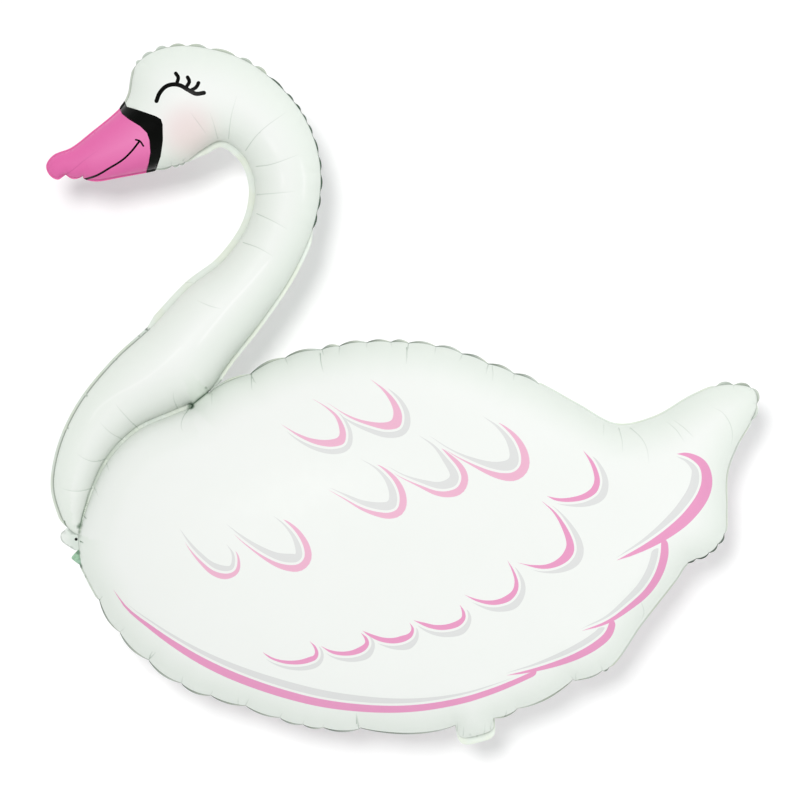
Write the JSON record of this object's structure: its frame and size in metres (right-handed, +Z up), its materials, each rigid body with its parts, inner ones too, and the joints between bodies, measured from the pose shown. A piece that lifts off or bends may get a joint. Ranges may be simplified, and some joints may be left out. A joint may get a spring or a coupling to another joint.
{
  "type": "swan foil balloon",
  "caption": "Inflated foil balloon shaped as a white swan seen from the side, lying flat, with a gathered welded border and a holed ribbon tab.",
  "frame": {"origin": "on the floor, under the middle of the balloon's bounding box as it lies", "axes": "+Z up, from the sheet it lies on to the printed sheet that faces up; +Y from the belly to the crown of the head; +X from the beak to the tail"},
  "size_m": [0.904, 0.8896, 0.279],
  "materials": {
    "pearl_foil": "satin"
  },
  "bodies": {
    "root": {"foil_envelope": "pearl_foil"}
  },
  "joints": []
}
